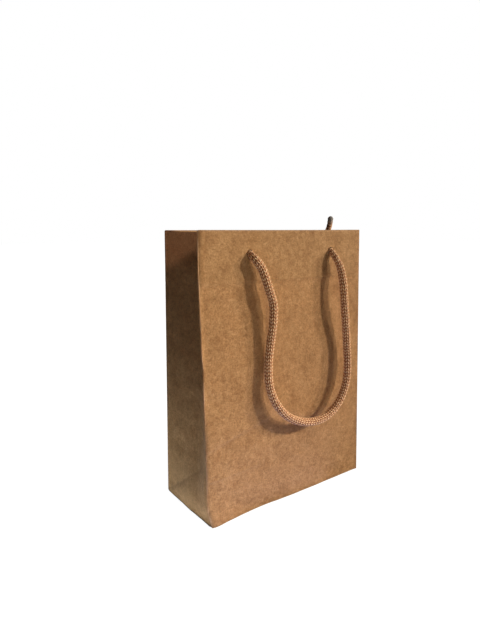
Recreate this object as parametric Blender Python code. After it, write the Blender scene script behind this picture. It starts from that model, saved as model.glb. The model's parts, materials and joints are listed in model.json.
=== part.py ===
"""Small kraft paper gift bag with two knitted cord handles.

Frame: origin at the centre of the base on the surface the bag stands on, +X to the bag's right,
+Z up, the front panel facing -Y. Metres throughout.

The bag stands open with its mouth drawn in a little: the front and back panels lean towards each
other, and the side gussets bow inwards to take up the spare paper.
"""

import math

import bmesh
import bpy
import numpy as np
from mathutils import Vector

MM = 0.001

# --- the paper body ---
HEIGHT = 200 * MM  # base to rim
WIDTH = 147 * MM  # across the front panel
DEPTH = 62 * MM  # paper width of one gusset, and depth of the base
LEAN = 7 * MM  # how far the front and back panels lean inwards at the rim
PAPER = 0.25 * MM  # one layer of kraft paper
CARD = 0.9 * MM  # reinforcement card inside the hem
BOARD = 0.6 * MM  # loose board on the base
GAP = 0.3 * MM  # between neighbouring pieces

# --- the hem turned in at the rim ---
HEM = 35 * MM
CARD_HEIGHT = 32 * MM
LAYER_HALF_WIDTH = WIDTH / 2 - 5.5 * MM  # the hem's front and back layers stop short of the gussets

# --- the punched holes and the cords ---
HOLE_X = (-34.5 * MM, 41 * MM)
HOLE_DROP = 16 * MM  # below the rim
HOLE_RADIUS = 3.0 * MM
CORD_RADIUS = 3.1 * MM
STUB_RADIUS = 2.5 * MM  # the cord where a hole squeezes it
PIVOT_OUT = 4.5 * MM  # from the panel to the line the handle swings about
KNOT_RADIUS = (6.2 * MM, 5.4 * MM, 6.0 * MM)
KNOT_IN = 8.2 * MM  # panel's outer face to knot centre

# --- the glued seam and the folded base ---
SEAM_FLAP = 15 * MM
BASE_OVERLAP = 8 * MM  # each base flap reaches this far past the middle
TUCK = 28 * MM


def clear_scene():
    for obj in list(bpy.data.objects):
        bpy.data.objects.remove(obj, do_unlink=True)


def material(name, colour, roughness):
    mat = bpy.data.materials.new(name)
    mat.use_nodes = True
    shader = mat.node_tree.nodes["Principled BSDF"]
    shader.inputs["Base Color"].default_value = (*colour, 1)
    shader.inputs["Roughness"].default_value = roughness
    shader.inputs["Metallic"].default_value = 0
    return mat


def add_object(name, mesh, mat, parent=None):
    """Link a mesh given in world coordinates; its origin moves to the parent's when it has one."""
    obj = bpy.data.objects.new(name, mesh)
    obj.data.materials.append(mat)
    bpy.context.collection.objects.link(obj)
    if parent is not None:
        for vertex in mesh.vertices:
            vertex.co -= parent.location
        obj.parent = parent
    return obj


def mesh_from(name, verts, faces):
    mesh = bpy.data.meshes.new(name)
    mesh.from_pydata([tuple(v) for v in verts], [], faces)
    bm = bmesh.new()
    bm.from_mesh(mesh)
    bmesh.ops.recalc_face_normals(bm, faces=bm.faces)
    bm.to_mesh(mesh)
    bm.free()
    return mesh


def half_depth(z):
    """Half the depth of the bag at a height, to the outer faces."""
    return DEPTH / 2 - LEAN * z / HEIGHT


def bow(z):
    """How far a gusset's middle is drawn in, from the paper its narrower depth leaves spare."""
    chord = 2 * half_depth(z)
    spare = math.sqrt(max(0.0, 0.25 * chord * (DEPTH - chord)))
    ease = min(1.0, z / (0.3 * HEIGHT))
    return spare * ease * ease * (3 - 2 * ease)


def pleat(t):
    """How much of that a gusset is drawn in at t, -1 (front) to 1 (back) across it.

    The fold is rounded, and lies forward of the middle.
    """
    def leg(u):
        return -0.476 * u + 1.19 * math.hypot(u, 0.16)

    chord = leg(-0.6) * (1 - t) / 2 + leg(1.4) * (1 + t) / 2
    return (chord - leg(t + 0.4)) / 0.834


def wall_y(side, z, inwards):
    """Y on the front (side -1) or back (side +1) wall, a distance in from its outer face."""
    return side * (half_depth(z) - inwards)


def wall_sheet(name, side, outline, inwards, thickness, mat):
    """A flat sheet lying along the front or back wall. outline holds (x, z) corners."""
    outer = [(x, wall_y(side, z, inwards), z) for x, z in outline]
    inner = [(x, wall_y(side, z, inwards + thickness), z) for x, z in outline]
    n = len(outline)
    faces = [tuple(range(n)), tuple(range(2 * n - 1, n - 1, -1))]
    faces += [(i, (i + 1) % n, n + (i + 1) % n, n + i) for i in range(n)]
    return add_object(name, mesh_from(name, outer + inner, faces), mat)


def rectangle(half_width, low, high):
    return [(-half_width, low), (half_width, low), (half_width, high), (-half_width, high)]


def gusset_sheet(name, side, low, high, inwards, mat, across=18, up=12):
    """A sheet following the bowed left (side -1) or right (side +1) gusset."""
    ends = PAPER + GAP  # clear of the front and back panels

    def point(i, j, extra):
        z = low + (high - low) * j / up
        t = 2 * i / across - 1
        y = t * (half_depth(z) - ends)
        drawn_in = bow(z) * pleat(y / half_depth(z))
        return (side * (WIDTH / 2 - drawn_in - inwards - extra), y, z)

    verts = [point(i, j, e) for e in (0, PAPER) for j in range(up + 1) for i in range(across + 1)]
    row, layer = across + 1, (across + 1) * (up + 1)
    faces = []
    for j in range(up):
        for i in range(across):
            a = j * row + i
            faces.append((a, a + 1, a + row + 1, a + row))
            faces.append((layer + a, layer + a + row, layer + a + row + 1, layer + a + 1))
    rim = [i for i in range(row)]
    rim += [j * row + across for j in range(1, up + 1)]
    rim += [up * row + i for i in range(across - 1, -1, -1)]
    rim += [j * row for j in range(up - 1, 0, -1)]
    for k, a in enumerate(rim):
        b = rim[(k + 1) % len(rim)]
        faces.append((a, b, layer + b, layer + a))
    return add_object(name, mesh_from(name, verts, faces), mat)


def flat_sheet(name, outline, low, thickness, mat):
    """A horizontal sheet. outline holds (x, y) corners."""
    n = len(outline)
    verts = [(x, y, low) for x, y in outline] + [(x, y, low + thickness) for x, y in outline]
    faces = [tuple(range(n - 1, -1, -1)), tuple(range(n, 2 * n))]
    faces += [(i, (i + 1) % n, n + (i + 1) % n, n + i) for i in range(n)]
    return add_object(name, mesh_from(name, verts, faces), mat)


def helper(name, mesh):
    """A hidden shape for a Boolean."""
    obj = bpy.data.objects.new(name, mesh)
    bpy.context.collection.objects.link(obj)
    obj.hide_render = True
    obj.display_type = "WIRE"
    return obj


def boolean(obj, other, operation):
    mod = obj.modifiers.new(operation.title() + " " + other.name, "BOOLEAN")
    mod.operation = operation
    mod.solver = "EXACT"
    mod.object = other


def tube_mesh(name, path, radii, sides=14):
    """A closed tube along a path, with a radius at each point."""
    path = [Vector(p) for p in path]
    verts, faces = [], []
    across = None
    for k, p in enumerate(path):
        along = (path[min(k + 1, len(path) - 1)] - path[max(k - 1, 0)]).normalized()
        if across is None:
            across = along.orthogonal().normalized()
        across = (across - along * across.dot(along)).normalized()
        other = along.cross(across)
        for s in range(sides):
            angle = 2 * math.pi * s / sides
            verts.append(p + (across * math.cos(angle) + other * math.sin(angle)) * radii[k])
    for k in range(len(path) - 1):
        for s in range(sides):
            a, b = k * sides + s, k * sides + (s + 1) % sides
            faces.append((a, b, b + sides, a + sides))
    faces.append(tuple(range(sides - 1, -1, -1)))
    faces.append(tuple(range((len(path) - 1) * sides, len(path) * sides)))
    return mesh_from(name, verts, faces)


def smooth_path(points, step):
    """Evenly spaced points on a Catmull-Rom curve through the given points."""
    pts = np.array(points, dtype=float)
    padded = np.vstack([2 * pts[0] - pts[1], pts, 2 * pts[-1] - pts[-2]])
    fine = []
    for k in range(len(pts) - 1):
        p0, p1, p2, p3 = padded[k:k + 4]
        for t in np.linspace(0, 1, 20, endpoint=False):
            fine.append(0.5 * (2 * p1 + (p2 - p0) * t + (2 * p0 - 5 * p1 + 4 * p2 - p3) * t ** 2
                               + (3 * p1 - p0 - 3 * p2 + p3) * t ** 3))
    fine.append(pts[-1])
    fine = np.array(fine)
    run = np.concatenate([[0], np.cumsum(np.linalg.norm(np.diff(fine, axis=0), axis=1))])
    at = np.linspace(0, run[-1], max(2, round(run[-1] / step) + 1))
    return np.stack([np.interp(at, run, fine[:, axis]) for axis in range(3)], axis=1)


def cord_curve(name, path, mat, parent):
    """A round cord along a path, as a curve with a filled round section."""
    curve = bpy.data.curves.new(name, "CURVE")
    curve.dimensions = "3D"
    curve.bevel_depth = CORD_RADIUS
    curve.bevel_resolution = 3
    curve.use_fill_caps = True
    spline = curve.splines.new("POLY")
    spline.points.add(len(path) - 1)
    for point, p in zip(spline.points, path):
        point.co = (*(Vector(p) - parent.location), 1)
    curve.materials.append(mat)
    obj = bpy.data.objects.new(name, curve)
    bpy.context.collection.objects.link(obj)
    obj.parent = parent
    return obj


def handle(name, side, drops, tails, mat):
    """One cord handle: the loop outside, which swings, and a knotted end inside each hole.

    drops holds the loop's route as (x, drop below the rim, distance out from the panel) in mm.
    tails says for each end whether its tail hangs down (-1) or stands up (+1).
    """
    def place(x, drop, out):
        z = HEIGHT - drop
        return Vector((x, wall_y(side, z, -out), z))

    pivot = bpy.data.objects.new(name + "_pivot", None)
    pivot.location = place(0, HOLE_DROP, PIVOT_OUT)
    bpy.context.collection.objects.link(pivot)

    # the loop starts just clear of the rounded end of each stub
    route = [place(x * MM, d * MM, o * MM) for x, d, o in drops]
    clearance = STUB_RADIUS + 0.4 * MM
    for hole_x, end, nxt in ((HOLE_X[0], 0, 0), (HOLE_X[1], -1, -1)):
        centre = place(hole_x, HOLE_DROP, PIVOT_OUT)
        start = centre + (route[nxt] - centre).normalized() * clearance
        if end == 0:
            route.insert(0, start)
        else:
            route.append(start)
    cord_curve(name, smooth_path(route, 2.1 * CORD_RADIUS), mat, pivot)

    for hole_x, label, up in ((HOLE_X[0], "left", tails[0]), (HOLE_X[1], "right", tails[1])):
        end_name = name + "_" + label + "_knot"
        knot_at = place(hole_x, HOLE_DROP, -KNOT_IN)
        bm = bmesh.new()
        bmesh.ops.create_uvsphere(bm, u_segments=16, v_segments=10, radius=1)
        for vertex in bm.verts:
            vertex.co = knot_at + Vector([vertex.co[a] * KNOT_RADIUS[a] for a in range(3)])
        mesh = bpy.data.meshes.new(end_name)
        bm.to_mesh(mesh)
        bm.free()
        mesh.shade_smooth()
        knot = add_object(end_name, mesh, mat)

        # the stub through the hole ends in a ball centred on the swing line
        tip = place(hole_x, HOLE_DROP, PIVOT_OUT)
        out = Vector((0, side, 0))
        turns = [math.radians(a) for a in (20, 45, 70)]
        stub = [knot_at, tip - out * 0.2 * MM] + [tip + out * STUB_RADIUS * math.sin(a) for a in turns]
        radii = [STUB_RADIUS, STUB_RADIUS] + [STUB_RADIUS * math.cos(a) for a in turns]
        boolean(knot, helper(end_name + "_stub", tube_mesh(end_name + "_stub", stub, radii)), "UNION")

        inwards = Vector((0, -side, 0))
        start = knot_at + inwards * 1.0 * MM
        if up > 0:
            tail = [start, start + Vector((4.2 * MM, 0, 9 * MM)), start + Vector((7.0 * MM, 0, 16 * MM)),
                    start + Vector((8.6 * MM, 0, 23.5 * MM)), start + Vector((8.9 * MM, 0, 25.4 * MM))]
        else:
            tail = [start, start + inwards * 1.5 * MM + Vector((0, 0, -10 * MM)),
                    start + inwards * 1.8 * MM + Vector((0, 0, -20 * MM)),
                    start + inwards * 1.6 * MM + Vector((0, 0, -27 * MM)),
                    start + inwards * 1.5 * MM + Vector((0, 0, -28.2 * MM))]
        thick = [2.5 * MM, 2.2 * MM, 2.0 * MM, 1.9 * MM, 1.0 * MM]
        boolean(knot, helper(end_name + "_tail", tube_mesh(end_name + "_tail", tail, thick)), "UNION")


def punch(obj, side, radius):
    """Punch the two cord holes through a sheet on the front or back wall."""
    z = HEIGHT - HOLE_DROP
    for k, x in enumerate(HOLE_X):
        y = wall_y(side, z, 0)
        path = [(x, y - 8 * MM, z), (x, y + 8 * MM, z)]
        name = obj.name + "_punch_" + str(k)
        boolean(obj, helper(name, tube_mesh(name, path, [radius] * 2, sides=24)), "DIFFERENCE")


def build_body(paper, inner_paper, card, board):
    for side, word in ((-1, "front"), (1, "back")):
        panel = wall_sheet(word + "_panel", side, rectangle(WIDTH / 2, 0, HEIGHT), 0, PAPER, paper)
        punch(panel, side, HOLE_RADIUS)
        stiffener = wall_sheet(
            word + "_reinforcement_card", side,
            rectangle(LAYER_HALF_WIDTH, HEIGHT - CARD_HEIGHT - GAP, HEIGHT - GAP),
            PAPER + GAP, CARD, card)
        punch(stiffener, side, HOLE_RADIUS)
        turn_in = wall_sheet(
            word + "_turned_in_hem", side, rectangle(LAYER_HALF_WIDTH, HEIGHT - HEM, HEIGHT),
            PAPER + CARD + 2 * GAP, PAPER, inner_paper)
        punch(turn_in, side, HOLE_RADIUS)

    for side, word in ((-1, "left"), (1, "right")):
        gusset_sheet(word + "_gusset", side, 0, HEIGHT, 0, paper)
        gusset_sheet(word + "_turned_in_hem", side, HEIGHT - HEM, HEIGHT, PAPER + GAP, inner_paper, up=4)

    # the sheet's long edge, glued down inside the back panel
    low, high = 4 * MM, HEIGHT - HEM - 2 * MM
    right = WIDTH / 2 - 3.5 * MM
    seam = [(right - SEAM_FLAP, low), (right, low), (right, high), (right - SEAM_FLAP, high)]
    wall_sheet("side_seam_flap", 1, seam, PAPER + GAP, PAPER, inner_paper)

    # the folded base, from the outermost flap up
    half_x = WIDTH / 2 - PAPER - GAP
    half_y = DEPTH / 2 - PAPER - GAP
    lap = BASE_OVERLAP
    flat_sheet("base_front_flap", [(-half_x, -half_y), (half_x, -half_y), (half_x, lap), (-half_x, lap)],
               0, PAPER, paper)
    level = PAPER + GAP
    flat_sheet("base_rear_flap", [(-half_x, -lap), (half_x, -lap), (half_x, half_y - 0.1 * MM),
                                  (-half_x, half_y - 0.1 * MM)], level, PAPER, paper)
    level += PAPER + GAP
    for side, word in ((-1, "left"), (1, "right")):
        tuck = [(side * (half_x - 0.1 * MM), -half_y + 1 * MM), (side * (half_x - TUCK), -half_y + TUCK - 3 * MM),
                (side * (half_x - TUCK), half_y - TUCK + 3 * MM), (side * (half_x - 0.1 * MM), half_y - 1 * MM)]
        flat_sheet("base_" + word + "_tuck", tuck if side < 0 else tuck[::-1], level, PAPER, inner_paper)
    level += PAPER + GAP
    bx, by = half_x - 1.2 * MM, half_y - 1.2 * MM
    flat_sheet("bottom_board", [(-bx, -by), (bx, -by), (bx, by), (-bx, by)], level, BOARD, board)


def build():
    clear_scene()
    paper = material("kraft_paper", (0.43, 0.25, 0.12), 0.85)
    inner_paper = material("kraft_paper_inside", (0.45, 0.27, 0.14), 0.9)
    card = material("greyboard_card", (0.36, 0.32, 0.27), 0.9)
    board = material("kraft_board", (0.42, 0.29, 0.17), 0.9)
    cord = material("knitted_cord", (0.40, 0.20, 0.10), 0.8)

    build_body(paper, inner_paper, card, board)

    front_route = [
        (-32.3, 21.3, 5.4), (-28.6, 26.6, 5.9), (-24.2, 40.0, 7.1), (-20.6, 51.0, 7.1), (-20.4, 65.0, 6.0),
        (-21.9, 78.5, 4.8), (-23.5, 92.5, 4.2), (-23.7, 107.0, 5.0), (-19.5, 121.2, 6.9), (-8.3, 133.8, 8.0),
        (9.9, 141.6, 8.2), (28.2, 141.2, 8.4), (42.3, 132.4, 8.5), (50.5, 118.4, 8.2), (52.7, 103.1, 7.7),
        (51.6, 87.2, 7.6), (49.4, 71.1, 8.4), (46.9, 55.3, 9.2), (46.4, 42.0, 8.6), (45.2, 30.0, 7.2),
        (42.3, 22.6, 5.8)]
    rear_route = [
        (-33.2, 25.0, 6.8), (-31.6, 42.0, 8.8), (-31.2, 62.0, 8.2), (-31.8, 82.0, 6.6), (-30.6, 102.0, 5.4),
        (-24.0, 121.0, 5.6), (-11.0, 133.5, 6.4), (3.0, 137.0, 6.8), (17.0, 133.5, 6.4), (30.0, 121.0, 5.6),
        (36.6, 102.0, 5.4), (37.8, 82.0, 6.6), (37.2, 62.0, 8.2), (37.6, 42.0, 8.8), (39.2, 25.0, 6.8)]
    handle("front_handle", -1, front_route, (-1, 1), cord)
    handle("rear_handle", 1, rear_route, (-1, -1), cord)


build()
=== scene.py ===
"""Looks of a small kraft paper gift bag with knitted cord handles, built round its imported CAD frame."""

import json
import math

import bmesh
import bpy
import numpy as np
from mathutils import Euler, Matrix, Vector


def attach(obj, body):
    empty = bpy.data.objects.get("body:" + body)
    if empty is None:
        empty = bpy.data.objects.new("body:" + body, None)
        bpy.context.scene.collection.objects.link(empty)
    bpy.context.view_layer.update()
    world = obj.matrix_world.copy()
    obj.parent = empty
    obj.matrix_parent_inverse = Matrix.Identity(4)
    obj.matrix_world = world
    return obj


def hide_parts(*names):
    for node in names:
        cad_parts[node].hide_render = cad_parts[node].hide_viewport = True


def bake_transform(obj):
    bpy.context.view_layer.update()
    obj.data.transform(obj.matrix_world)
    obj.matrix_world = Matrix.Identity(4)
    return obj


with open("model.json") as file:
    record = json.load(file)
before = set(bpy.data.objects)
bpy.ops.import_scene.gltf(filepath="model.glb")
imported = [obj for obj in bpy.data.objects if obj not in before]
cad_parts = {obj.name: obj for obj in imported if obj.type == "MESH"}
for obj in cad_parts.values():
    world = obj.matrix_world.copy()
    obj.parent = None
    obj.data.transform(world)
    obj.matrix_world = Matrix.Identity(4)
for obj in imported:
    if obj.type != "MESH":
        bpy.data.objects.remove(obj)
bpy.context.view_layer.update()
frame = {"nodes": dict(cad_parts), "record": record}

MM = 0.001

# The bag's dimensions, as the CAD has them.
HEIGHT = 200 * MM
WIDTH = 147 * MM
DEPTH = 62 * MM
LEAN = 7 * MM  # of the front and back panels, inwards at the rim
PAPER = 0.25 * MM
HEM = 35 * MM
HEM_LOW = HEIGHT - HEM
HEM_DEPTH = 2.0 * MM  # front and back hem, with the card inside it
SIDE_HEM_DEPTH = 0.8 * MM
HOLE_X = (-34.5 * MM, 41 * MM)
HOLE_DROP = 16 * MM
HOLE_Z = HEIGHT - HOLE_DROP
HOLE_RADIUS = 3.0 * MM

# The meshes' fineness.
WALL_ROWS = 190  # up the outside of a wall
INNER_ROWS = 80  # and down its inside
PANEL_COLUMNS = 150
GUSSET_COLUMNS = 72
HANDLE_SIDES, HANDLE_STEP = 72, 0.3 * MM
KNOT_SIDES, KNOT_STEP = 56, 0.42 * MM
SHARP = math.radians(50)  # edges that turn by more than this are drawn sharp


def half_depth(z):
    """Half the bag's depth at a height, to the outer faces."""
    return DEPTH / 2 - LEAN * z / HEIGHT


def bow(z):
    """How far a gusset is drawn in at its fold."""
    chord = 2 * half_depth(z)
    spare = np.sqrt(np.maximum(0.0, 0.25 * chord * (DEPTH - chord)))
    ease = np.clip(z / (0.3 * HEIGHT), 0, 1)
    return spare * ease * ease * (3 - 2 * ease)


def pleat(t):
    """The share of that at t, from -1 (front) to 1 (back). The fold lies forward of the middle."""
    def leg(u):
        return -0.476 * u + 1.19 * np.hypot(u, 0.16)

    chord = leg(-0.6) * (1 - t) / 2 + leg(1.4) * (1 + t) / 2
    return (chord - leg(t + 0.4)) / 0.834


def smooth(t):
    """0 up to t = 0 and 1 from t = 1, with an eased ramp between."""
    t = np.clip(t, 0, 1)
    return t * t * (3 - 2 * t)


def bell(distance, width):
    return np.exp(-(distance / width) ** 2)


# ---------------------------------------------------------------- materials

def new_material(name):
    mat = bpy.data.materials.new(name)
    mat.use_nodes = True
    tree = mat.node_tree
    tree.nodes.clear()
    return mat, tree


def node(tree, kind, inputs=None, **settings):
    n = tree.nodes.new(kind)
    for key, value in settings.items():
        setattr(n, key, value)
    for key, value in (inputs or {}).items():
        socket = n.inputs[key]
        if isinstance(value, bpy.types.NodeSocket):
            tree.links.new(value, socket)
        else:
            socket.default_value = value
    return n


def ramp(tree, fac, stops):
    n = node(tree, "ShaderNodeValToRGB", {"Fac": fac})
    elements = n.color_ramp.elements
    while len(elements) > 1:
        elements.remove(elements[-1])
    for k, (at, colour) in enumerate(stops):
        e = elements[0] if k == 0 else elements.new(at)
        e.position = at
        e.color = (*colour, 1)
    return n.outputs["Color"]


def mix(tree, fac, a, b, blend="MIX"):
    n = tree.nodes.new("ShaderNodeMix")
    n.data_type = "RGBA"
    n.blend_type = blend
    for key, value in (("Factor", fac), ("A", a), ("B", b)):
        socket = [s for s in n.inputs if s.name == key and s.type in ("RGBA", "VALUE") and s.enabled][0]
        if isinstance(value, bpy.types.NodeSocket):
            tree.links.new(value, socket)
        else:
            socket.default_value = value if key == "Factor" else (*value, 1)
    return [s for s in n.outputs if s.type == "RGBA"][0]


def noise(tree, coords, scale, detail=3, rough=0.55, stretch=None):
    vector = coords
    if stretch is not None:
        vector = node(tree, "ShaderNodeMapping", {"Vector": coords, "Scale": stretch}).outputs["Vector"]
    n = node(tree, "ShaderNodeTexNoise", {"Vector": vector, "Scale": scale, "Detail": detail,
                                          "Roughness": rough})
    return n.outputs["Fac"]


def cells(tree, coords, scale):
    """Distance to the nearest of many scattered points."""
    return node(tree, "ShaderNodeTexVoronoi", {"Vector": coords, "Scale": scale}).outputs["Distance"]


def attribute(tree, name):
    return node(tree, "ShaderNodeAttribute", attribute_name=name).outputs["Fac"]


def bump(tree, height, strength, distance, under=None):
    """A bumped normal, on top of the one under it."""
    inputs = {"Height": height, "Strength": strength, "Distance": distance}
    if under is not None:
        inputs["Normal"] = under
    return node(tree, "ShaderNodeBump", inputs).outputs["Normal"]


def kraft_material(name, tint, see_through):
    """Uncoated kraft paper: cloudy formation, short fibres, dark and light flecks, folds rubbed paler, and
    rims painted paler as a highlight.
    """
    mat, tree = new_material(name)
    coords = node(tree, "ShaderNodeTexCoord").outputs["Object"]
    base = (0.56 * tint, 0.307 * tint, 0.126 * tint)
    dark = (0.385 * tint, 0.19 * tint, 0.070 * tint)
    light = (0.71 * tint, 0.415 * tint, 0.190 * tint)
    clouds = noise(tree, coords, 75, 5, 0.65)
    clouds = ramp(tree, clouds, [(0.3, dark), (0.5, base), (0.72, light)])
    mottle = noise(tree, coords, 300, 6, 0.8)
    mottle = ramp(tree, mottle, [(0.36, dark), (0.5, base), (0.64, light)])
    colour = mix(tree, 0.6, clouds, mottle)
    grain = noise(tree, coords, 900, 3, 0.8)
    grain = ramp(tree, grain, [(0.34, (0.62, 0.55, 0.48)), (0.5, (1, 1, 1)), (0.66, (1.28, 1.36, 1.42))])
    colour = mix(tree, 0.8, colour, grain, "MULTIPLY")
    # short fibres, most of them lying across the sheet
    wander = node(tree, "ShaderNodeTexNoise", {"Vector": coords, "Scale": 110.0, "Detail": 1.0})
    bent = node(tree, "ShaderNodeVectorMath", {0: wander.outputs["Color"], 1: (0.004, 0.004, 0.004)},
                operation="MULTIPLY")
    bent = node(tree, "ShaderNodeVectorMath", {0: bent.outputs[0], 1: coords}, operation="ADD")
    fibres = noise(tree, bent.outputs[0], 1100, 3, 0.7, stretch=(0.3, 0.3, 1.3))
    fibres = ramp(tree, fibres, [(0.34, (0.66, 0.58, 0.5)), (0.46, (1, 1, 1)), (0.7, (1.14, 1.17, 1.2))])
    colour = mix(tree, 0.45, colour, fibres, "MULTIPLY")
    # sparse warm flecks of darker pulp
    flecks = ramp(tree, cells(tree, coords, 330), [(0.1, (0.74, 0.55, 0.42)), (0.24, (1, 1, 1))])
    colour = mix(tree, 0.28, colour, flecks, "MULTIPLY")
    # folds and edges rub paler in patches; along the rims the paler colour is also a painted highlight,
    # where the rounded rim catches the light
    patchy = noise(tree, coords, 260, 3, 0.6)
    amount = node(tree, "ShaderNodeMath", {0: attribute(tree, "wear_and_rim_highlight"), 1: patchy}, operation="MULTIPLY")
    amount = node(tree, "ShaderNodeMath", {0: amount.outputs[0], 1: 1.5}, operation="MULTIPLY",
                  use_clamp=True)
    colour = mix(tree, amount.outputs[0], colour, (0.66, 0.44, 0.27))
    pulp = bump(tree, noise(tree, coords, 240, 4, 0.6), 0.35, 0.0006)
    fine = noise(tree, coords, 1500, 5, 0.75, stretch=(0.5, 0.5, 1.6))
    normal = bump(tree, fine, 0.3, 0.0002, under=pulp)
    surface = node(tree, "ShaderNodeBsdfPrincipled", {
        "Base Color": colour, "Roughness": 0.82, "Normal": normal, "Specular IOR Level": 0.22,
        "Sheen Weight": 0.08, "Sheen Roughness": 0.6})
    through = node(tree, "ShaderNodeBsdfTranslucent", {"Color": (0.80, 0.55, 0.40, 1), "Normal": normal})
    both = node(tree, "ShaderNodeMixShader", {0: see_through, 1: surface.outputs[0], 2: through.outputs[0]})
    node(tree, "ShaderNodeOutputMaterial", {"Surface": both.outputs[0]})
    return mat


def card_material(name, colour, speck):
    """Dull recycled board with visible specks."""
    mat, tree = new_material(name)
    coords = node(tree, "ShaderNodeTexCoord").outputs["Object"]
    low = tuple(c * 0.85 for c in colour)
    high = tuple(c * 1.12 for c in colour)
    tone = ramp(tree, noise(tree, coords, 300, 5, 0.7), [(0.3, low), (0.7, high)])
    specks = ramp(tree, cells(tree, coords, 500), [(0.12, speck), (0.25, (1, 1, 1))])
    tone = mix(tree, 0.5, tone, specks, "MULTIPLY")
    normal = bump(tree, noise(tree, coords, 1200, 4, 0.7), 0.3, 0.0002)
    surface = node(tree, "ShaderNodeBsdfPrincipled", {
        "Base Color": tone, "Roughness": 0.9, "Normal": normal, "Specular IOR Level": 0.2})
    node(tree, "ShaderNodeOutputMaterial", {"Surface": surface.outputs[0]})
    return mat


def cord_material(name):
    """Knitted cotton-like yarn: tan stitches, with painted shade in dark red-brown where they sink between
    and a painted highlight on their tops.
    """
    mat, tree = new_material(name)
    coords = node(tree, "ShaderNodeTexCoord").outputs["Object"]
    # the stitch relief picks the colour: painted shade in the gaps, the yarn's own tan on the sides of the
    # stitches, a painted highlight on their tops
    tone = ramp(tree, attribute(tree, "relief"), [
        (0.0, (0.12, 0.038, 0.015)), (0.36, (0.37, 0.145, 0.06)), (0.7, (0.74, 0.40, 0.20)),
        (0.95, (1.0, 0.74, 0.45))])
    strands = noise(tree, coords, 1500, 4, 0.7)
    strands = ramp(tree, strands, [(0.3, (0.72, 0.66, 0.6)), (0.5, (1, 1, 1)), (0.7, (1.2, 1.22, 1.25))])
    tone = mix(tree, 0.6, tone, strands, "MULTIPLY")
    tone = mix(tree, attribute(tree, "melted"), tone, (0.30, 0.28, 0.27))
    normal = bump(tree, noise(tree, coords, 2600, 3, 0.7), 0.5, 0.0002)
    surface = node(tree, "ShaderNodeBsdfPrincipled", {
        "Base Color": tone, "Roughness": 0.8, "Normal": normal,
        "Specular IOR Level": 0.25, "Sheen Weight": 0.35, "Sheen Roughness": 0.45,
        "Sheen Tint": (1, 0.8, 0.62, 1)})
    node(tree, "ShaderNodeOutputMaterial", {"Surface": surface.outputs[0]})
    return mat


KRAFT = kraft_material("kraft_paper", tint=0.94, see_through=0.34)
KRAFT_INSIDE = kraft_material("kraft_paper_inside", tint=0.97, see_through=0.34)
GREYBOARD = card_material("greyboard_card", (0.36, 0.32, 0.27), (0.7, 0.62, 0.55))
BOARD = card_material("kraft_board", (0.42, 0.29, 0.17), (0.66, 0.52, 0.42))
CORD = cord_material("knitted_cord")


# ---------------------------------------------------------------- small tools

def make_piece(name, verts, faces, mat, body, attributes):
    """A smooth mesh piece with the given attributes on its points, riding on a body unless that is None."""
    mesh = bpy.data.meshes.new(name)
    mesh.from_pydata(np.asarray(verts, dtype=np.float64).tolist(), [], faces)
    mesh.materials.append(mat)
    for key, values in attributes.items():
        layer = mesh.attributes.new(key, "FLOAT", "POINT")
        layer.data.foreach_set("value", np.asarray(values, np.float32))
    mesh.shade_smooth()
    mesh.update()
    obj = bpy.data.objects.new(name, mesh)
    bpy.context.collection.objects.link(obj)
    if body is not None:
        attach(obj, body)
    return obj


def waves(seed, count, shortest, longest):
    """A smooth random field of two coordinates, about -1 to 1, as a sum of plane waves."""
    rng = np.random.default_rng(seed)
    angle = rng.uniform(0, 2 * math.pi, count)
    length = shortest * (longest / shortest) ** rng.uniform(0, 1, count)
    phase = rng.uniform(0, 2 * math.pi, count)
    kx = 2 * math.pi / length * np.cos(angle)
    ky = 2 * math.pi / length * np.sin(angle)
    weight = (length / longest) ** 0.8
    weight /= math.sqrt((weight ** 2).sum())

    def field(a, b):
        total = np.zeros(np.broadcast(a, b).shape)
        for i in range(count):
            total += weight[i] * np.cos(kx[i] * a + ky[i] * b + phase[i])
        return total

    return field


def crease(a, b, line, width, fade=8 * MM):
    """Strength of a fold along a line, given as its two ends, and the signed distance to it."""
    (a0, b0), (a1, b1) = line
    run = math.hypot(a1 - a0, b1 - b0)
    ua, ub = (a1 - a0) / run, (b1 - b0) / run
    along = (a - a0) * ua + (b - b0) * ub
    across = (b - b0) * ua - (a - a0) * ub
    held = smooth((along + fade) / fade) * smooth((run + fade - along) / fade)
    return held * bell(across, width), across


# ---------------------------------------------------------------- the paper walls

def wall_profile(hem_depth):
    """(height, depth into the paper) from under the base up the outside, over the rim and down inside."""
    half = hem_depth / 2
    lip = 4 * MM  # turned in under the base
    round_low = HEIGHT - half * 0.9  # where the rim starts to turn over
    out = [(0.01 * MM, lip)]
    out += [(z, 0.0) for z in np.linspace(0, round_low, WALL_ROWS)]
    for a in np.linspace(0, 180, 9)[1:-1]:
        turn = math.radians(a)
        out.append((HEIGHT - half * 0.9 * (1 - math.sin(turn)), half * (1 - math.cos(turn))))
    out += [(z, hem_depth) for z in np.linspace(round_low, HEM_LOW + 0.3 * MM, INNER_ROWS // 4)]
    out.append((HEM_LOW, hem_depth - 0.12 * MM))
    out.append((HEM_LOW - 0.05 * MM, PAPER + 0.02 * MM))
    out += [(z, PAPER) for z in np.linspace(HEM_LOW - 1 * MM, 0.04 * MM, INNER_ROWS)]
    out.append((0.04 * MM, lip))
    return out


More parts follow.
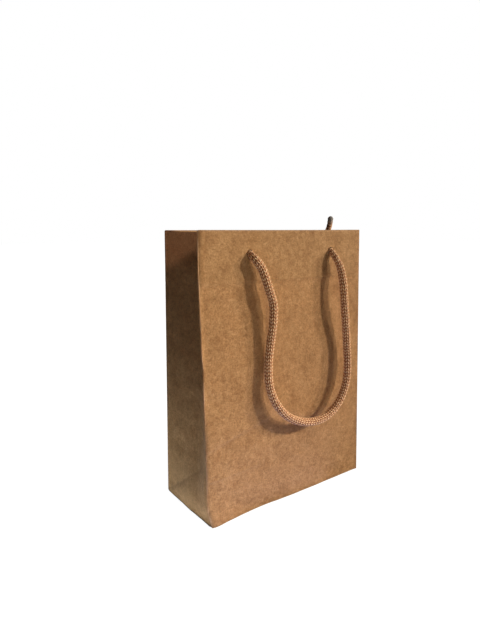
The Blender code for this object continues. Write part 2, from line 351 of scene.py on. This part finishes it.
def build_wall(name, nodes, out, half_span, columns, hem_depth, sag, centre, relief, wear_and_rim_highlight):
    """One wall of the bag as a closed sheet, with its hem.

    out is the unit vector out of the bag, and sag is how far the middle of the rim hangs down.
    centre(t, z) gives the outer face without wrinkles at t from -1 to 1 across the wall, relief(t, z)
    how far the paper stands out there, and the last function of (t, z) how much paler the paper is: rubbed,
    and painted paler along the rim as a highlight.
    """
    profile = wall_profile(hem_depth)
    t = np.linspace(-1, 1, columns)
    verts, rubbed_and_highlit = [], []
    for z, depth in profile:
        zz = np.full_like(t, z)
        tt = t * (1 - depth / half_span)  # the inner face is narrower
        # the hem's layers stop short of the folds, where there is only the one sheet
        inside = smooth(((1 - np.abs(t)) * half_span - 0.8 * MM) / (4.5 * MM))
        deep = np.minimum(depth, PAPER) + max(depth - PAPER, 0) * inside
        # the inner layer of the hem lies flatter than the outer, over the card between them
        layer = min(1.0, max(0.0, (depth - PAPER) / (hem_depth - PAPER)))
        proud = relief(tt, zz) * (1 - 0.92 * layer) - 0.12 * MM * layer
        p = centre(tt, zz) + np.array(out) * (proud - deep)[:, None]
        p[:, 2] -= sag * (1 - t * t) * smooth((zz - 0.5 * HEIGHT) / (0.5 * HEIGHT))
        verts.append(p)
        rubbed_and_highlit.append(wear_and_rim_highlight(tt, zz) * (1 if depth < hem_depth * 0.6 else 0.3))
    rows = len(profile)
    faces = []
    for j in range(rows):
        a, b = j * columns, ((j + 1) % rows) * columns
        faces += [(a + i, a + i + 1, b + i + 1, b + i) for i in range(columns - 1)]
    faces.append(tuple(j * columns for j in range(rows)))
    faces.append(tuple(j * columns + columns - 1 for j in reversed(range(rows))))
    obj = make_piece(name, np.concatenate(verts), faces, KRAFT, "bag",
                     {"wear_and_rim_highlight": np.concatenate(rubbed_and_highlit)})
    bm = bmesh.new()
    bm.from_mesh(obj.data)
    bmesh.ops.recalc_face_normals(bm, faces=bm.faces)
    bm.to_mesh(obj.data)
    bm.free()
    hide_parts(*nodes)
    return obj


def edge_fade(t, span, width=3 * MM):
    """1 in the middle of a wall and 0 at its two folds, so that neighbours meet."""
    return smooth((1 - np.abs(t)) * span / width)


def fold_round(from_edge):
    """How far the paper falls back where it rounds a fold."""
    return 0.45 * MM * np.exp(-from_edge / (0.35 * MM))


def left_edge(z):
    """How far the front-left fold wanders out to the left of a straight line."""
    at = np.array([0, 4, 12, 22, 60, 96, 108, 118, 132, 150, 176, 192, 200]) * MM
    out = np.array([-0.9, -0.3, 0.9, 1.0, 0.7, 1.1, 0.5, 1.5, 1.5, 1.8, 2.0, 1.6, 1.2]) * MM
    return np.interp(z, at, out)


def corner_flare(x, z):
    """How far the foot of the front-left corner is pushed forward."""
    return 2.4 * MM * bell(z, 8 * MM) * bell(x + WIDTH / 2, 26 * MM)


# Fold lines of the front panel, as (x, z) of their ends.
LEVEL_LINE = ((-73 * MM, 31.5 * MM), (-33 * MM, 32.5 * MM))
SLANTING_LINE = ((-74 * MM, 53.5 * MM), (-24 * MM, 65.5 * MM))
SLANTING_STEP = ((-74 * MM, 53.5 * MM), (-30 * MM, 64 * MM))
# Its dents, in mm: x, z, half width, half height, depth.
FRONT_DENTS = ((-71, 128, 7, 9, 1.0), (-66, 152, 9, 4, 0.4), (-58, 113, 11, 5, 0.4), (-70, 100, 6, 14, 0.5),
               (-66, 187, 8, 3, 0.3), (30, 62, 22, 14, 0.5), (66, 90, 10, 26, 0.5), (-10, 150, 24, 9, 0.3))
front_broad = waves(11, 14, 45 * MM, 150 * MM)
front_small = waves(12, 40, 9 * MM, 34 * MM)


def front_relief(x, z):
    """The front panel's wrinkles, creases and the hem showing through, in metres outwards."""
    damp = 0.35 + 0.65 * smooth((HEM_LOW - z) / (12 * MM))  # the card keeps the hem flat
    total = front_broad(x, z) * 0.45 * MM * damp + front_small(x, z) * 0.16 * MM * damp
    total += 0.5 * MM * smooth((z - (HEM_LOW - 0.4 * MM) + 0.9 * MM) / (1.8 * MM))
    total += 0.28 * MM * crease(x, z, LEVEL_LINE, 0.8 * MM)[0]
    total += 0.3 * MM * crease(x, z, SLANTING_LINE, 0.9 * MM, 14 * MM)[0]
    fold, side = crease(x, z, SLANTING_STEP, 9 * MM, 16 * MM)
    total += 0.3 * MM * fold * np.sign(side) * smooth(np.abs(side) / (3 * MM))
    for cx, cz, rx, rz, depth in FRONT_DENTS:
        off = ((x / MM - cx) / rx) ** 2 + ((z / MM - cz) / rz) ** 2
        total -= depth * MM * np.exp(-off) * 0.6
    for hx in HOLE_X:  # the paper dips where the cord pulls through
        total -= 0.3 * MM * bell(np.hypot(x - hx, z - HOLE_Z), 5 * MM)
    return total


# Fold lines of the back panel, right across it, and where its glued seam flap starts.
BACK_LOW_LINE = ((-73 * MM, 31 * MM), (73 * MM, 31.5 * MM))
BACK_HIGH_LINE = ((-73 * MM, 62 * MM), (73 * MM, 61 * MM))
SEAM_X = WIDTH / 2 - 18.5 * MM
back_broad = waves(21, 14, 45 * MM, 150 * MM)
back_small = waves(22, 40, 9 * MM, 34 * MM)


def back_relief(x, z):
    """The same for the back panel, with the seam flap showing through as a step."""
    total = back_broad(x, z) * 0.5 * MM + back_small(x, z) * 0.17 * MM
    total += 0.35 * MM * smooth((z - HEM_LOW + 1.2 * MM) / (2.4 * MM))
    total += 0.28 * MM * crease(x, z, BACK_LOW_LINE, 0.8 * MM)[0]
    total += 0.3 * MM * crease(x, z, BACK_HIGH_LINE, 0.8 * MM)[0]
    total += 0.25 * MM * smooth((x - SEAM_X) / (1.5 * MM)) * smooth((HEM_LOW - z) / (2 * MM))
    return total


def flat_wall(side, seed):
    """The front (side -1) or back (side +1) panel."""
    half = WIDTH / 2
    rough_edge = waves(seed, 30, 3 * MM, 25 * MM)

    def centre(t, z):
        x = t * half
        back = fold_round((1 - np.abs(t)) * half)
        if side < 0:
            x = x - left_edge(z) * smooth((-x / half - 0.55) / 0.45)
            back = back - corner_flare(x, z)
        return np.stack([x, side * (half_depth(z) - back), z], axis=1)

    def relief(t, z):
        return (front_relief if side < 0 else back_relief)(t * half, z) * edge_fade(t, half)

    def wear_and_rim_highlight(t, z):
        total = bell((1 - np.abs(t)) * half, 0.7 * MM) * (0.55 + 0.45 * rough_edge(z, 0 * z))
        # along the rim the paleness is a painted highlight where the rounded rim catches the light, as well
        # as rubbing; the bottom edge is rubbed
        total = total + bell(HEIGHT - z, 0.6 * MM) * 0.95 + bell(z, 0.7 * MM) * 0.5
        if side < 0:
            total += 0.2 * crease(t * half, z, LEVEL_LINE, 0.5 * MM)[0]
            total += 0.15 * crease(t * half, z, SLANTING_LINE, 0.5 * MM, 14 * MM)[0]
        return np.clip(total, 0, 1)

    word = "front" if side < 0 else "back"
    return build_wall(word + "_panel_paper", [word + "_panel", word + "_turned_in_hem"], (0.0, side, 0.0),
                      half, PANEL_COLUMNS, HEM_DEPTH, 0.12 * MM, centre, relief, wear_and_rim_highlight)


# The slanting fold at a gusset's foot, as (y, z) of its ends.
FOOT_LINE = ((-31 * MM, 46.5 * MM), (31 * MM, 0.5 * MM))


def gusset(side, seed):
    """The left (side -1) or right (side +1) gusset."""
    half = DEPTH / 2
    broad = waves(seed, 16, 26 * MM, 110 * MM)
    small = waves(seed + 1, 40, 8 * MM, 28 * MM)
    rough_edge = waves(seed + 2, 30, 3 * MM, 25 * MM)

    def centre(t, z):
        x = side * (WIDTH / 2 - bow(z) * pleat(t))
        y = t * half_depth(z)
        if side < 0:  # the edge and the foot follow the front panel's
            x = x - left_edge(z) * smooth((-t - 0.1) / 0.9)
            y = y - 0.5 * corner_flare(-WIDTH / 2, z) * smooth((-t - 0.6) / 0.4)
        return np.stack([x - side * fold_round((1 - np.abs(t)) * half_depth(z)), y, z], axis=1)

    def relief(t, z):
        y = t * half
        total = broad(y, z) * 0.5 * MM + small(y, z) * 0.14 * MM
        total = total - 0.12 * MM * crease(y, z, FOOT_LINE, 1.0 * MM, 4 * MM)[0]
        # below the fold the paper bulges out
        line = FOOT_LINE[0][1] * (half - y) / DEPTH
        part = np.clip((line - z) / np.maximum(line, 1e-6), 0, 1)
        total = total + 1.3 * MM * np.sin(math.pi * part) * np.clip(line / (20 * MM), 0, 1)
        # the gusset's middle line, and the hem
        total = total + 0.15 * MM * bell(y, 1.2 * MM) * smooth((z - 60 * MM) / (60 * MM))
        total = total + 0.2 * MM * smooth((z - HEM_LOW + 1.2 * MM) / (2.4 * MM))
        return total * edge_fade(t, half)

    def wear_and_rim_highlight(t, z):
        y = t * half
        total = bell((1 - np.abs(t)) * half, 0.5 * MM) * (0.5 + 0.4 * rough_edge(z, 0 * z))
        # the rim is painted paler as a highlight where it catches the light, as well as rubbed
        total = total + bell(HEIGHT - z, 0.6 * MM) * 0.6
        return np.clip(total + 0.1 * crease(y, z, FOOT_LINE, 0.5 * MM, 4 * MM)[0], 0, 1)

    word = "left" if side < 0 else "right"
    return build_wall(word + "_gusset_paper", [word + "_gusset", word + "_turned_in_hem"], (side, 0.0, 0.0),
                      half, GUSSET_COLUMNS, SIDE_HEM_DEPTH, 1.3 * MM, centre, relief, wear_and_rim_highlight)


def punch_holes(obj, side):
    """Cut the two cord holes through a wall."""
    for k, x in enumerate(HOLE_X):
        bm = bmesh.new()
        y = side * half_depth(HOLE_Z)
        bmesh.ops.create_cone(bm, cap_ends=True, segments=48, radius1=HOLE_RADIUS, radius2=HOLE_RADIUS,
                              depth=16 * MM)
        bmesh.ops.rotate(bm, verts=bm.verts, matrix=Euler((math.pi / 2, 0, 0)).to_matrix())
        bmesh.ops.translate(bm, verts=bm.verts, vec=(x, y, HOLE_Z))
        mesh = bpy.data.meshes.new("punch")
        bm.to_mesh(mesh)
        bm.free()
        cutter = bpy.data.objects.new("punch", mesh)
        bpy.context.collection.objects.link(cutter)
        mod = obj.modifiers.new("punch", "BOOLEAN")
        mod.operation = "DIFFERENCE"
        mod.solver = "EXACT"
        mod.object = cutter
        bpy.context.view_layer.update()
        cut = bpy.data.meshes.new_from_object(obj.evaluated_get(bpy.context.evaluated_depsgraph_get()))
        obj.modifiers.clear()
        old = obj.data
        obj.data = cut
        bpy.data.meshes.remove(old)
        bpy.data.objects.remove(cutter)
        bpy.data.meshes.remove(mesh)
    obj.data.shade_smooth()


# ---------------------------------------------------------------- the cords

WALES = 6  # columns of stitches round the cord
STITCH = 2.45 * MM  # length of one stitch along it


def smooth_path(points, step):
    """Evenly spaced points on a Catmull-Rom curve through the given points."""
    pts = np.array(points, dtype=float)
    padded = np.vstack([2 * pts[0] - pts[1], pts, 2 * pts[-1] - pts[-2]])
    fine = []
    for k in range(len(pts) - 1):
        p0, p1, p2, p3 = padded[k:k + 4]
        t = np.linspace(0, 1, 40, endpoint=False)[:, None]
        fine.append(0.5 * (2 * p1 + (p2 - p0) * t + (2 * p0 - 5 * p1 + 4 * p2 - p3) * t ** 2
                           + (3 * p1 - p0 - 3 * p2 + p3) * t ** 3))
    fine = np.vstack(fine + [pts[-1:]])
    run = np.concatenate([[0], np.cumsum(np.linalg.norm(np.diff(fine, axis=0), axis=1))])
    at = np.linspace(0, run[-1], max(8, int(round(run[-1] / step)) + 1))
    return np.stack([np.interp(at, run, fine[:, axis]) for axis in range(3)], axis=1)


def soften(path, rounds):
    for _ in range(rounds):
        path[1:-1] = 0.25 * path[:-2] + 0.5 * path[1:-1] + 0.25 * path[2:]
    return path


def evenly(path, step):
    """The path with evenly spaced points, and each one's distance along it."""
    run = np.concatenate([[0], np.cumsum(np.linalg.norm(np.diff(path, axis=0), axis=1))])
    at = np.linspace(0, run[-1], int(round(run[-1] / step)) + 1)
    return np.stack([np.interp(at, run, path[:, axis]) for axis in range(3)], axis=1), at


def knit_height(around, along):
    """Relief of plain knitting, 0 in the gaps to 1 on the yarn. around and along are counted in stitches."""
    a = around - np.floor(around) - 0.5
    leg = np.abs(a) * 2  # 0 in the middle of a column, 1 between columns
    q = along + 0.85 * leg
    q = q - np.floor(q)
    lump = np.sin(math.pi * q) ** 0.8
    rib = np.clip(np.sin(math.pi * leg), 0, 1) ** 0.7
    return lump * rib


def knitted_tube(name, path, radius, sides, body, length, start_turn=0.0, melted=0.0):
    """A knitted cord as a closed tube along a path of evenly spaced points.

    melted is how much of its end is melted, so that the cut yarn does not unravel.
    """
    n = len(path)
    tangents = np.gradient(path, axis=0)
    tangents /= np.linalg.norm(tangents, axis=1)[:, None]
    across = np.empty_like(path)
    first = np.cross(tangents[0], [0.3, 0.5, 0.81])
    across[0] = first / np.linalg.norm(first)
    for k in range(1, n):
        v = across[k - 1] - tangents[k] * np.dot(across[k - 1], tangents[k])
        across[k] = v / np.linalg.norm(v)
    other = np.cross(tangents, across)
    s = np.arange(n) * (length / (n - 1))
    # the columns drift slowly round the cord, and the stitches are a little uneven
    drift = start_turn + 0.35 * np.sin(s / (37 * MM)) + 0.2 * np.sin(s / (16 * MM) + 1.3)
    angle = np.linspace(0, 2 * math.pi, sides, endpoint=False)
    around = (angle[None, :] + drift[:, None]) / (2 * math.pi) * WALES
    uneven = 0.10 * np.sin(s / (5.3 * MM)) + 0.08 * np.sin(s / (2.9 * MM) + 2)
    along = (s / STITCH + uneven)[:, None] + 0.0 * around
    height = knit_height(around, along)
    fuzz = waves(77, 30, 0.5, 3.0)(around, along) * 0.06
    r = radius[:, None] * (0.83 + 0.175 * height + fuzz * 0.3)
    verts = path[:, None, :] + r[..., None] * (np.cos(angle)[None, :, None] * across[:, None, :]
                                               + np.sin(angle)[None, :, None] * other[:, None, :])
    verts = np.vstack([verts.reshape(-1, 3), path[:1], path[-1:]])
    faces = []
    for k in range(n - 1):
        a = k * sides
        faces += [(a + j, a + (j + 1) % sides, a + sides + (j + 1) % sides, a + sides + j)
                  for j in range(sides)]
    first_cap, last_cap = len(verts) - 2, len(verts) - 1
    a = (n - 1) * sides
    faces += [(first_cap, (j + 1) % sides, j) for j in range(sides)]
    faces += [(last_cap, a + j, a + (j + 1) % sides) for j in range(sides)]
    # from this relief the material paints shade into the gaps and a highlight on the stitch tops
    relief = np.clip(height + fuzz, 0, 1).reshape(-1)
    end = np.repeat(smooth((s - length + melted) / (0.8 * melted + 1e-9)) * (melted > 0), sides)
    return make_piece(name, verts, faces, CORD, body, {
        "relief": np.concatenate([relief, [0.4, 0.4]]),
        "melted": np.concatenate([end, [0.0, float(melted > 0)]])})


def place(side, x, drop, out):
    """A point beside the front (side -1) or back (side +1) panel, from mm."""
    z = HEIGHT - drop * MM
    return np.array([x * MM, side * (half_depth(z) + out * MM), z])


# The loops' routes, as points for place() below the holes.
FRONT_ROUTE = [
    (-32.3, 21.3, 5.4), (-28.6, 26.6, 5.9), (-24.2, 40.0, 7.1), (-20.6, 51.0, 7.1), (-20.4, 65.0, 6.0),
    (-21.9, 78.5, 4.8), (-23.5, 92.5, 4.2), (-23.7, 107.0, 5.0), (-19.5, 121.2, 6.9), (-8.3, 133.8, 8.0),
    (9.9, 141.6, 8.2), (28.2, 141.2, 8.4), (42.3, 132.4, 8.5), (50.5, 118.4, 8.2), (52.7, 103.1, 7.7),
    (51.6, 87.2, 7.6), (49.4, 71.1, 8.4), (46.9, 55.3, 9.2), (46.4, 42.0, 8.6), (45.2, 30.0, 7.2),
    (42.3, 22.6, 5.8)]
REAR_ROUTE = [
    (-33.2, 25.0, 6.8), (-31.6, 42.0, 8.8), (-31.2, 62.0, 8.2), (-31.8, 82.0, 6.6), (-30.6, 102.0, 5.4),
    (-24.0, 121.0, 5.6), (-11.0, 133.5, 6.4), (3.0, 137.0, 6.8), (17.0, 133.5, 6.4), (30.0, 121.0, 5.6),
    (36.6, 102.0, 5.4), (37.8, 82.0, 6.6), (37.2, 62.0, 8.2), (37.6, 42.0, 8.8), (39.2, 25.0, 6.8)]


def build_handle(name, side, route, tails):
    """A cord's loop outside the bag, which bends at its holes, and a knotted end inside each hole.

    tails says for each end whether its tail hangs down (-1) or stands up (+1).
    """
    left = [(-34.5, 16.0, -1.5), (-34.7, 16.2, 0.8), (-34.3, 17.8, 3.3)]
    right = [(40.7, 18.4, 3.6), (41.0, 16.2, 0.8), (41.0, 16.0, -1.5)]
    path = soften(smooth_path([place(side, *p) for p in left + route + right], 0.3 * MM), 40)
    path, at = evenly(path, HANDLE_STEP)
    length = at[-1]
    from_end = np.minimum(at, length - at)
    slow = np.where(at < length / 2, 9 * MM, 26 * MM)  # one end is pulled thinner than the other
    radius = (2.35 + 0.75 * smooth((from_end - 1.5 * MM) / slow)) * MM
    loop = knitted_tube(name + "_cord", path, radius, HANDLE_SIDES, None, length)
    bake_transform(loop)
    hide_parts(name)

    for hole, label, up in ((HOLE_X[0], "left", tails[0]), (HOLE_X[1], "right", tails[1])):
        build_knot(name + "_" + label + "_knot", side, hole / MM, up)


def build_knot(name, side, hole, up):
    """The cord from inside a hole through an overhand knot to its cut tail."""
    t = np.linspace(-1.95, 1.95, 40)
    knot = np.stack([t ** 3 - 3 * t, t ** 4 - 4 * t ** 2, 0.45 * (t ** 5 - 10 * t) / 4], axis=1)
    knot = knot * np.array([1.15, 1.05, 1.0]) * 1.35  # mm, about 12 across
    # the knot lies flat against the hem, with its two ends towards the hole and the tail
    knot = np.stack([knot[:, 0], 9.0 + knot[:, 2] * 0.9, knot[:, 1] + 2.6], axis=1)  # x, inwards, up
    if up > 0:
        tail = [(4.2, 10.4, 9.0), (6.6, 9.8, 14.5), (8.5, 9.3, 19.5), (9.7, 9.2, 26.4)]
    else:
        tail = [(0.6, 13.5, -9.0), (0.8, 14.0, -18.0), (0.4, 13.4, -26.5)]
        knot[:, 2] = -knot[:, 2] + 2.0
    chain = [(0.0, -1.0, 0.0), (0.0, 2.0, 0.0)] + list(knot[::3]) + tail
    points = [place(side, hole + p[0], HOLE_DROP / MM - p[2], -p[1]) for p in chain]
    path, at = evenly(soften(smooth_path(points, 0.45 * MM), 20), KNOT_STEP)
    length = at[-1]
    tip = length - at
    radius = 2.35 * MM + 0.15 * MM * smooth(at / (6 * MM))
    radius = radius - 0.35 * MM * smooth(1 - (tip - 8 * MM) / (14 * MM))
    radius = radius * np.sqrt(np.clip(1 - (1 - np.minimum(tip, 2 * MM) / (2 * MM)) ** 2, 0.01, 1))
    obj = knitted_tube(name + "_cord", path, radius, KNOT_SIDES, "bag", length, start_turn=0.4,
                       melted=9 * MM)
    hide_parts(name)
    return obj


build_handle("front_handle", -1, FRONT_ROUTE, (-1, 1))
build_handle("rear_handle", 1, REAR_ROUTE, (-1, -1))

walls = [flat_wall(-1, 31), flat_wall(1, 32), gusset(-1, 41), gusset(1, 51)]
punch_holes(walls[0], -1)
punch_holes(walls[1], 1)
for wall in walls:
    wall.data.set_sharp_from_angle(angle=SHARP)

FINISHES = {"kraft_paper": KRAFT, "kraft_paper_inside": KRAFT_INSIDE, "greyboard_card": GREYBOARD,
            "kraft_board": BOARD, "knitted_cord": CORD}
slots = {s["node"]: s.get("material_slot") for s in frame["record"]["subparts"]}
for node_name, cad in frame["nodes"].items():
    cad.data.materials.clear()
    cad.data.materials.append(FINISHES[slots[node_name]])

# ---------------------------------------------------------------- floor, light and camera

mat, tree = new_material("pale_floor")
coords = node(tree, "ShaderNodeTexCoord").outputs["Object"]
tone = ramp(tree, noise(tree, coords, 3, 3, 0.5), [(0.3, (0.21, 0.21, 0.205)), (0.7, (0.23, 0.23, 0.225))])
diffuse = node(tree, "ShaderNodeBsdfDiffuse", {"Color": tone, "Roughness": 1.0}).outputs[0]
glow = node(tree, "ShaderNodeEmission", {"Color": (1, 1, 1, 1), "Strength": 1.0}).outputs[0]
bright = node(tree, "ShaderNodeAddShader", {0: diffuse, 1: glow}).outputs[0]
camera_ray = node(tree, "ShaderNodeLightPath").outputs["Is Camera Ray"]
pick = node(tree, "ShaderNodeMixShader", {0: camera_ray, 1: diffuse, 2: bright})
node(tree, "ShaderNodeOutputMaterial", {"Surface": pick.outputs[0]})
mesh = bpy.data.meshes.new("floor")
mesh.from_pydata([(-8, -8, 0), (8, -8, 0), (8, 8, 0), (-8, 8, 0)], [], [(0, 1, 2, 3)])
mesh.materials.append(mat)
floor = bpy.data.objects.new("floor", mesh)
floor.location.z = -0.0004
bpy.context.collection.objects.link(floor)

world = bpy.data.worlds.new("studio")
bpy.context.scene.world = world
world.use_nodes = True
tree = world.node_tree
tree.nodes.clear()
camera_ray = node(tree, "ShaderNodeLightPath").outputs["Is Camera Ray"]
fill = node(tree, "ShaderNodeBackground", {"Color": (0.6, 0.8, 1.3, 1), "Strength": 0.018})
seen = node(tree, "ShaderNodeBackground", {"Color": (1, 1, 1, 1), "Strength": 1.0})
pick = node(tree, "ShaderNodeMixShader", {0: camera_ray, 1: fill.outputs[0], 2: seen.outputs[0]})
node(tree, "ShaderNodeOutputWorld", {"Surface": pick.outputs[0]})


def area_light(name, at, target, size, power, colour):
    """A round light turned towards its target, or a rectangular card where size has two numbers.

    A card is hidden from the camera, and it faces straight up where it has no target.
    """
    data = bpy.data.lights.new(name, "AREA")
    data.energy = power
    data.color = colour
    obj = bpy.data.objects.new(name, data)
    obj.location = at
    if isinstance(size, tuple):
        data.shape = "RECTANGLE"
        data.size, data.size_y = size
        obj.visible_camera = False
    else:
        data.shape = "DISK"
        data.size = size
    if target is None:
        obj.rotation_euler = (math.pi, 0, 0)
    else:
        obj.rotation_euler = (Vector(target) - Vector(at)).to_track_quat("-Z", "Y").to_euler()
    bpy.context.collection.objects.link(obj)


AIM = (0, 0, 0.11)
area_light("key", (2.52, -1.98, 1.33), AIM, 0.29, 84.0, (1.0, 0.92, 0.78))
area_light("second", (3.92, -1.94, 1.27), AIM, 0.42, 110.0, (1.0, 0.91, 0.76))
area_light("front_soft", (1.30, -1.60, 1.60), AIM, 2.40, 12.0, (1.0, 0.90, 0.90))
area_light("back_fill", (0.90, 1.30, 0.10), (0, 0.03, 0.10), 0.80, 13.0, (0.95, 0.98, 1.0))
area_light("front_left", (-0.060, -0.190, 0.125), (-0.060, 0, 0.125), (0.03, 0.16), 0.074, (1.0, 0.90, 0.66))
# light coming back off the table top, close to the bag on its left and in front
area_light("table_left", (-0.120, 0.01, 0.0002), None, (0.09, 0.17), 0.080, (0.82, 0.96, 1.0))
area_light("table_front", (-0.040, -0.085, 0.0002), None, (0.16, 0.10), 0.06, (0.45, 0.50, 1.0))

camera_data = bpy.data.cameras.new("camera")
camera_data.sensor_fit = "VERTICAL"
camera_data.sensor_height = 36.0
camera_data.lens = 489.9 / 640 * 36.0
camera_data.clip_start = 0.01
camera = bpy.data.objects.new("camera", camera_data)
azimuth, elevation, roll = math.radians(-35.03), math.radians(10.29), math.radians(-0.18)
camera.location = (-0.2306, -0.2923, 0.1992)
forward = Vector((-math.sin(azimuth) * math.cos(elevation), math.cos(azimuth) * math.cos(elevation),
                  -math.sin(elevation)))
turn = forward.to_track_quat("-Z", "Y").to_matrix() @ Euler((0, 0, roll)).to_matrix()
camera.rotation_euler = turn.to_euler()
bpy.context.collection.objects.link(camera)
bpy.context.scene.camera = camera
bpy.context.scene.view_settings.view_transform = "Standard"
